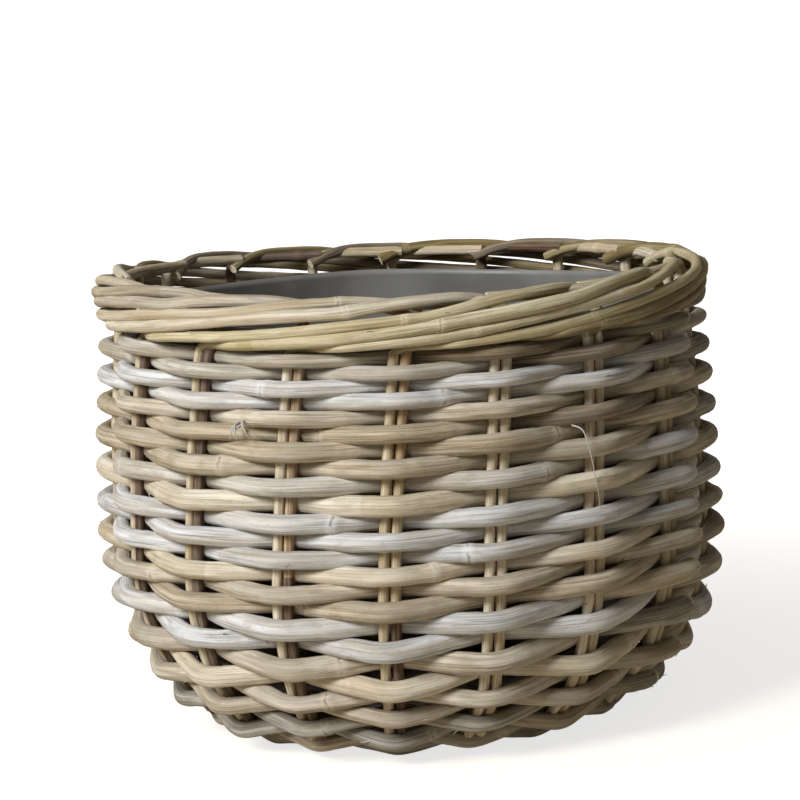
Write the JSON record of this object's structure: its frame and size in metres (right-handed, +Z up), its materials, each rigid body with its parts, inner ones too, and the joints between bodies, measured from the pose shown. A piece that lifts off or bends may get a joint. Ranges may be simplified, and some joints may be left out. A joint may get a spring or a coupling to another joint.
{
  "type": "woven planter basket",
  "caption": "Round bellied basket of woven rattan rods over paired leaning stakes, with a turned-over border, an open top and a thin plastic liner that holds a plant pot.",
  "frame": {"origin": "centre of the basket's underside, on the ground plane, on the basket's axis", "axes": "+Z up along the basket's axis, -Y towards the front, +X to the right seen from the front"},
  "size_m": [0.4313, 0.4321, 0.3101],
  "materials": {
    "rattan_bleached": "bare rattan, bleached near white, with lengthwise fibre streaks",
    "rattan_grey": "bare rattan, weathered grey, with lengthwise fibre streaks",
    "rattan_tan": "bare rattan, natural tan, with lengthwise fibre streaks",
    "rattan_cream": "bare rattan, pale cream, with lengthwise fibre streaks",
    "rattan_brown": "bare rattan, dark grey-brown, with lengthwise fibre streaks",
    "rattan_honey": "bare thin rattan, honey coloured, a little smoother",
    "liner_plastic": "thin grey plastic, slightly satin"
  },
  "bodies": {
    "root": {"weaver_row_01": "rattan_brown", "weaver_row_02": "rattan_grey", "weaver_row_03": "rattan_grey", "weaver_row_04": "rattan_bleached", "weaver_row_05": "rattan_tan", "weaver_row_06": "rattan_brown", "weaver_row_07": "rattan_tan", "weaver_row_08": "rattan_grey", "weaver_row_09": "rattan_grey", "weaver_row_10": "rattan_cream", "weaver_row_11": "rattan_bleached", "weaver_row_12": "rattan_bleached", "weaver_row_13": "rattan_bleached", "weaver_row_14": "rattan_cream", "weaver_row_15": "rattan_tan", "weaver_row_16": "rattan_tan", "weaver_row_17": "rattan_bleached", "weaver_row_18": "rattan_bleached", "weaver_row_19": "rattan_tan", "weaver_row_20": "rattan_cream", "weaver_row_21": "rattan_tan", "weaver_row_22": "rattan_tan", "weaver_row_23": "rattan_grey", "weaver_row_24": "rattan_grey", "weaver_row_25": "rattan_tan", "weaver_row_26": "rattan_tan", "stake_pair_01": "rattan_honey", "stake_pair_02": "rattan_honey", "stake_pair_03": "rattan_honey", "stake_pair_04": "rattan_honey", "stake_pair_05": "rattan_honey", "stake_pair_06": "rattan_honey", "stake_pair_07": "rattan_honey", "stake_pair_08": "rattan_honey", "stake_pair_09": "rattan_honey", "stake_pair_10": "rattan_honey", "stake_pair_11": "rattan_honey", "stake_pair_12": "rattan_honey", "stake_pair_13": "rattan_honey", "stake_pair_14": "rattan_honey", "stake_pair_15": "rattan_honey", "stake_pair_16": "rattan_honey", "stake_pair_17": "rattan_honey", "stake_pair_18": "rattan_honey", "base_stick_01": "rattan_tan", "base_stick_02": "rattan_tan", "base_stick_03": "rattan_tan", "base_stick_04": "rattan_tan", "base_stick_05": "rattan_tan", "base_stick_06": "rattan_tan", "base_stick_07": "rattan_tan", "base_stick_08": "rattan_tan", "base_stick_09": "rattan_tan", "base_weaver_01": "rattan_tan", "base_weaver_02": "rattan_tan", "base_weaver_03": "rattan_tan", "base_weaver_04": "rattan_tan", "base_weaver_05": "rattan_tan", "base_weaver_06": "rattan_tan", "liner": "liner_plastic"}
  },
  "joints": []
}
